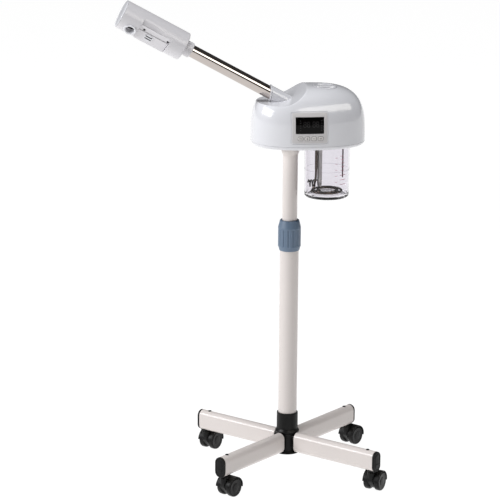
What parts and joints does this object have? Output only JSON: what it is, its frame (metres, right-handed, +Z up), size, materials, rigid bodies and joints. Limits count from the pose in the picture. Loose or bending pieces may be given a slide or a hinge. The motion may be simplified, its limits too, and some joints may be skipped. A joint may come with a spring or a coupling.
{
  "type": "facial steamer",
  "caption": "Salon facial steamer on a rolling cross base: telescopic column, oval white housing with glass water jar and keypad, chrome arm and swivelling steam head.",
  "frame": {"origin": "middle of the bounding box, on the floor under the castors", "axes": "+Z up; the housing front with its keypad faces -Y; the steam arm reaches out towards -X and the water jar hangs on the +X side"},
  "size_m": [0.5699, 0.3767, 1.0305],
  "materials": {
    "gloss_white": "glossy injection-moulded ABS",
    "head_white": "satin injection-moulded ABS",
    "white_enamel": "semi-gloss powder-coated steel tube",
    "black_plastic": "fine-textured moulded polypropylene",
    "wheel_nylon": "satin moulded nylon",
    "blue_plastic": "satin moulded plastic, slate blue",
    "chrome": "bright chromium plate",
    "glass": "clear borosilicate glass",
    "display": "glossy dark acrylic window",
    "panel_grey": "satin membrane panel",
    "key_grey": "satin moulded keys",
    "heater_steel": "heat-tinted stainless sheath",
    "bolt_steel": "zinc-plated steel",
    "head_plate": "heat-resistant moulded plastic",
    "probe": "dark red heat-shrink sleeve",
    "seal": "food-grade silicone rubber",
    "duct": "silicone tube",
    "circuit": "glass-epoxy board",
    "lamp_glass": "quartz lamp envelope"
  },
  "bodies": {
    "base": {"hub": "black_plastic", "hub_bolt": "bolt_steel", "leg_front_right": "white_enamel", "leg_cap_front_right": "black_plastic", "castor_stem_front_right": "bolt_steel", "leg_back_right": "white_enamel", "leg_cap_back_right": "black_plastic", "castor_stem_back_right": "bolt_steel", "leg_back_left": "white_enamel", "leg_cap_back_left": "black_plastic", "castor_stem_back_left": "bolt_steel", "leg_front_left": "white_enamel", "leg_cap_front_left": "black_plastic", "castor_stem_front_left": "bolt_steel", "lower_column": "white_enamel", "collet": "black_plastic"},
    "castor_front_right": {"castor_frame_front_right": "black_plastic"},
    "wheel_front_right_left": {"castor_wheel_front_right_left": "wheel_nylon"},
    "wheel_front_right_right": {"castor_wheel_front_right_right": "wheel_nylon"},
    "castor_back_right": {"castor_frame_back_right": "black_plastic"},
    "wheel_back_right_left": {"castor_wheel_back_right_left": "wheel_nylon"},
    "wheel_back_right_right": {"castor_wheel_back_right_right": "wheel_nylon"},
    "castor_back_left": {"castor_frame_back_left": "black_plastic"},
    "wheel_back_left_left": {"castor_wheel_back_left_left": "wheel_nylon"},
    "wheel_back_left_right": {"castor_wheel_back_left_right": "wheel_nylon"},
    "castor_front_left": {"castor_frame_front_left": "black_plastic"},
    "wheel_front_left_left": {"castor_wheel_front_left_left": "wheel_nylon"},
    "wheel_front_left_right": {"castor_wheel_front_left_right": "wheel_nylon"},
    "collar": {"collar_nut": "blue_plastic"},
    "mast": {"upper_column": "white_enamel", "column_bush": "black_plastic"},
    "housing": {"housing_shell": "gloss_white", "housing_base": "gloss_white", "column_socket": "black_plastic", "control_panel": "panel_grey", "display_window": "display", "circuit_board": "circuit", "power_inlet": "black_plastic", "boiler_head": "head_plate", "heater": "heater_steel", "level_probe": "probe", "steam_duct": "duct", "fill_tube": "duct", "neck_gland": "gloss_white", "arm_tube": "chrome", "head_collar": "head_white"},
    "key_1": {"button_1": "key_grey"},
    "key_2": {"button_2": "key_grey"},
    "key_3": {"button_3": "key_grey"},
    "key_4": {"button_4": "key_grey"},
    "fill_stopper": {"fill_plug": "seal"},
    "fill_lid": {"fill_cap": "gloss_white"},
    "jar_ring": {"jar_seal": "seal"},
    "water_jar": {"jar": "glass"},
    "steam_head": {"head_shell": "head_white", "head_end_cap": "gloss_white", "lamp_cover": "head_white", "nozzle": "gloss_white", "steam_hose": "duct", "ozone_lamp": "lamp_glass"}
  },
  "joints": [
    {"name": "castor_swivel_front_right", "type": "hinge", "parent": "base", "child": "castor_front_right", "pos_m": [0.24178, -0.16838, 0.044], "axis": [0, 0, 1], "continuous": true},
    {"name": "wheel_spin_front_right_left", "type": "hinge", "parent": "castor_front_right", "child": "wheel_front_right_left", "pos_m": [0.25236, -0.15382, 0.02], "axis": [-0.809, 0.5878, 0], "continuous": true},
    {"name": "wheel_spin_front_right_right", "type": "hinge", "parent": "castor_front_right", "child": "wheel_front_right_right", "pos_m": [0.25236, -0.15382, 0.02], "axis": [-0.809, 0.5878, 0], "continuous": true},
    {"name": "castor_swivel_back_right", "type": "hinge", "parent": "base", "child": "castor_back_right", "pos_m": [0.24178, 0.14558, 0.044], "axis": [0, 0, 1], "continuous": true},
    {"name": "wheel_spin_back_right_left", "type": "hinge", "parent": "castor_back_right", "child": "wheel_back_right_left", "pos_m": [0.25515, 0.15762, 0.02], "axis": [-0.6691, 0.7431, 0], "continuous": true},
    {"name": "wheel_spin_back_right_right", "type": "hinge", "parent": "castor_back_right", "child": "wheel_back_right_right", "pos_m": [0.25515, 0.15762, 0.02], "axis": [-0.6691, 0.7431, 0], "continuous": true},
    {"name": "castor_swivel_back_left", "type": "hinge", "parent": "base", "child": "castor_back_left", "pos_m": [-0.07218, 0.14558, 0.044], "axis": [0, 0, 1], "continuous": true},
    {"name": "wheel_spin_back_left_left", "type": "hinge", "parent": "castor_back_left", "child": "wheel_back_left_left", "pos_m": [-0.0599, 0.15874, 0.02], "axis": [-0.7314, 0.682, 0], "continuous": true},
    {"name": "wheel_spin_back_left_right", "type": "hinge", "parent": "castor_back_left", "child": "wheel_back_left_right", "pos_m": [-0.0599, 0.15874, 0.02], "axis": [-0.7314, 0.682, 0], "continuous": true},
    {"name": "castor_swivel_front_left", "type": "hinge", "parent": "base", "child": "castor_front_left", "pos_m": [-0.07218, -0.16838, 0.044], "axis": [0, 0, 1], "continuous": true},
    {"name": "wheel_spin_front_left_left", "type": "hinge", "parent": "castor_front_left", "child": "wheel_front_left_left", "pos_m": [-0.0588, -0.15633, 0.02], "axis": [-0.6691, 0.7431, 0], "continuous": true},
    {"name": "wheel_spin_front_left_right", "type": "hinge", "parent": "castor_front_left", "child": "wheel_front_left_right", "pos_m": [-0.0588, -0.15633, 0.02], "axis": [-0.6691, 0.7431, 0], "continuous": true},
    {"name": "collar_turn", "type": "hinge", "parent": "base", "child": "collar", "pos_m": [0.0848, -0.0114, 0.526], "axis": [0, 0, 1], "range_deg": [0, 120]},
    {"name": "column_lift", "type": "slide", "parent": "base", "child": "mast", "axis": [0, 0, 1], "range_m": [-0.13, 0.15]},
    {"name": "housing_swivel", "type": "hinge", "parent": "mast", "child": "housing", "pos_m": [0.0848, -0.0114, 0.74], "axis": [0, 0, 1], "continuous": true},
    {"name": "key_press_1", "type": "slide", "parent": "housing", "child": "key_1", "axis": [0, 1, 0], "range_m": [0, 0.0008], "stiffness_N_per_m": 800, "springref_m": -0.0005},
    {"name": "key_press_2", "type": "slide", "parent": "housing", "child": "key_2", "axis": [0, 1, 0], "range_m": [0, 0.0008], "stiffness_N_per_m": 800, "springref_m": -0.0005},
    {"name": "key_press_3", "type": "slide", "parent": "housing", "child": "key_3", "axis": [0, 1, 0], "range_m": [0, 0.0008], "stiffness_N_per_m": 800, "springref_m": -0.0005},
    {"name": "key_press_4", "type": "slide", "parent": "housing", "child": "key_4", "axis": [0, 1, 0], "range_m": [0, 0.0008], "stiffness_N_per_m": 800, "springref_m": -0.0005},
    {"name": "fill_lift", "type": "slide", "parent": "housing", "child": "fill_stopper", "axis": [0, 0, 1], "range_m": [0, 0.05]},
    {"name": "fill_twist", "type": "hinge", "parent": "fill_stopper", "child": "fill_lid", "pos_m": [0.1538, -0.0234, 0.841], "axis": [0, 0, 1], "range_deg": [-90, 0]},
    {"name": "jar_twist", "type": "hinge", "parent": "housing", "child": "jar_ring", "pos_m": [0.1628, -0.0114, 0.734], "axis": [0, 0, 1], "range_deg": [0, 60]},
    {"name": "jar_drop", "type": "slide", "parent": "jar_ring", "child": "water_jar", "axis": [0, 0, 1], "range_m": [-0.125, 0]},
    {"name": "head_swivel", "type": "hinge", "parent": "housing", "child": "steam_head", "pos_m": [0.0371, -0.0114, 0.8343], "axis": [-0.8755, 0, 0.4833], "range_deg": [-135, 135]}
  ]
}
